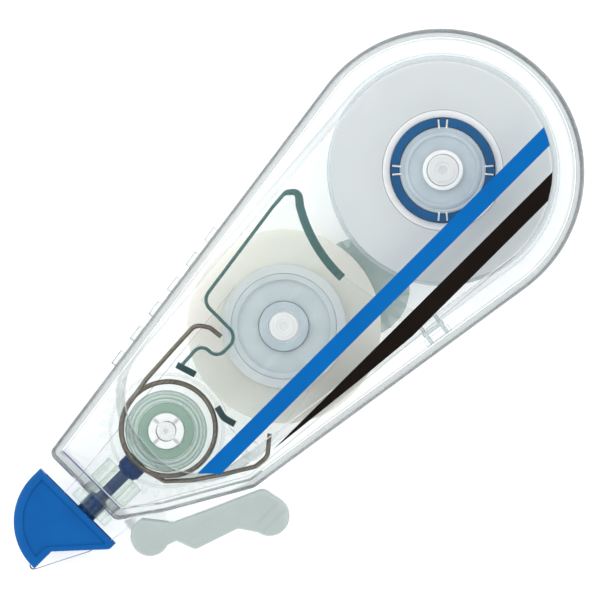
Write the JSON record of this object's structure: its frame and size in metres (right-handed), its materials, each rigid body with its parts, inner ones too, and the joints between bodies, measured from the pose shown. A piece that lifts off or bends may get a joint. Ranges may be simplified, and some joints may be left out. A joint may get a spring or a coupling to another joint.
{
  "type": "correction tape roller",
  "caption": "Clear-cased correction tape roller with geared supply and take-up reels, a wrap-spring brake, a pressing head and a swinging tip guard.",
  "frame": {"origin": "on the supply reel's axis, at the outer face of the rear case that the roller lies on", "axes": "+X along the long axis towards the round rear end, +Y towards the edge with the grip bumps, +Z out of the printed front panel"},
  "size_m": [0.0921, 0.037, 0.016],
  "materials": {
    "clear_case": "clear polystyrene, polished",
    "bridge": "green-tinted clear plastic",
    "tinted_gear": "milky green-grey plastic",
    "hub_grey": "blue-grey plastic",
    "clutch_blue": "blue plastic",
    "core_white": "white plastic",
    "tape": "edge of a wound paper liner with white coating",
    "liner": "edge of a wound paper liner",
    "cream_gear": "cream acetal plastic",
    "brake_green": "green plastic",
    "spring_wire": "drawn spring wire",
    "stem_blue": "dark blue plastic",
    "head_blue": "blue plastic, satin",
    "guard_grey": "frosted grey translucent plastic"
  },
  "bodies": {
    "root": {"rear_case": "clear_case", "front_case": "clear_case", "chassis_bridge": "bridge", "head_sleeve": "tinted_gear", "torsion_spring": "spring_wire", "tape_feed_run": "tape", "tape_return_run": "liner"},
    "supply_reel": {"supply_gear": "hub_grey", "clutch_ring": "clutch_blue", "supply_core": "core_white", "supply_roll": "tape"},
    "idler": {"idler_gear": "tinted_gear"},
    "takeup_reel": {"takeup_pinion": "core_white", "takeup_gear": "cream_gear", "takeup_core": "hub_grey", "takeup_roll": "liner"},
    "brake_wheel": {"brake_gear": "tinted_gear", "brake_hub": "core_white", "brake_drum": "brake_green"},
    "head_slider": {"head_stem": "stem_blue"},
    "head": {"head_nose": "head_blue", "tape_tip_loop": "tape"},
    "guard": {"guard": "guard_grey"}
  },
  "joints": [
    {"name": "supply_spin", "type": "hinge", "parent": "root", "child": "supply_reel", "pos_m": [0, 0, 0.0076], "axis": [0, 0, 1], "continuous": true},
    {"name": "idler_spin", "type": "hinge", "parent": "root", "child": "idler", "pos_m": [-0.01822, -0.00319, 0.0022], "axis": [0, 0, 1], "continuous": true},
    {"name": "takeup_spin", "type": "hinge", "parent": "root", "child": "takeup_reel", "pos_m": [-0.02867, 0.00026, 0.0076], "axis": [0, 0, 1], "continuous": true},
    {"name": "brake_spin", "type": "hinge", "parent": "root", "child": "brake_wheel", "pos_m": [-0.04889, 0.00143, 0.0076], "axis": [0, 0, 1], "continuous": true},
    {"name": "head_press", "type": "slide", "parent": "root", "child": "head_slider", "axis": [1, 0, 0], "range_m": [0, 0.0008], "stiffness_N_per_m": 50, "springref_m": -0.001},
    {"name": "head_twist", "type": "hinge", "parent": "head_slider", "child": "head", "pos_m": [-0.0668, 0.00129, 0.0076], "axis": [1, 0, 0], "range_deg": [-8, 8], "stiffness_Nm_per_rad": 0.001},
    {"name": "guard_swing", "type": "hinge", "parent": "root", "child": "guard", "pos_m": [-0.05995, -0.0067, 0.0076], "axis": [0, 0, 1], "range_deg": [-172, 0]}
  ],
  "couplings": [
    {"joint": "idler_spin", "follows": "supply_spin", "ratio": -2.0833},
    {"joint": "takeup_spin", "follows": "supply_spin", "ratio": 2.5},
    {"joint": "brake_spin", "follows": "supply_spin", "ratio": -3.6364}
  ]
}
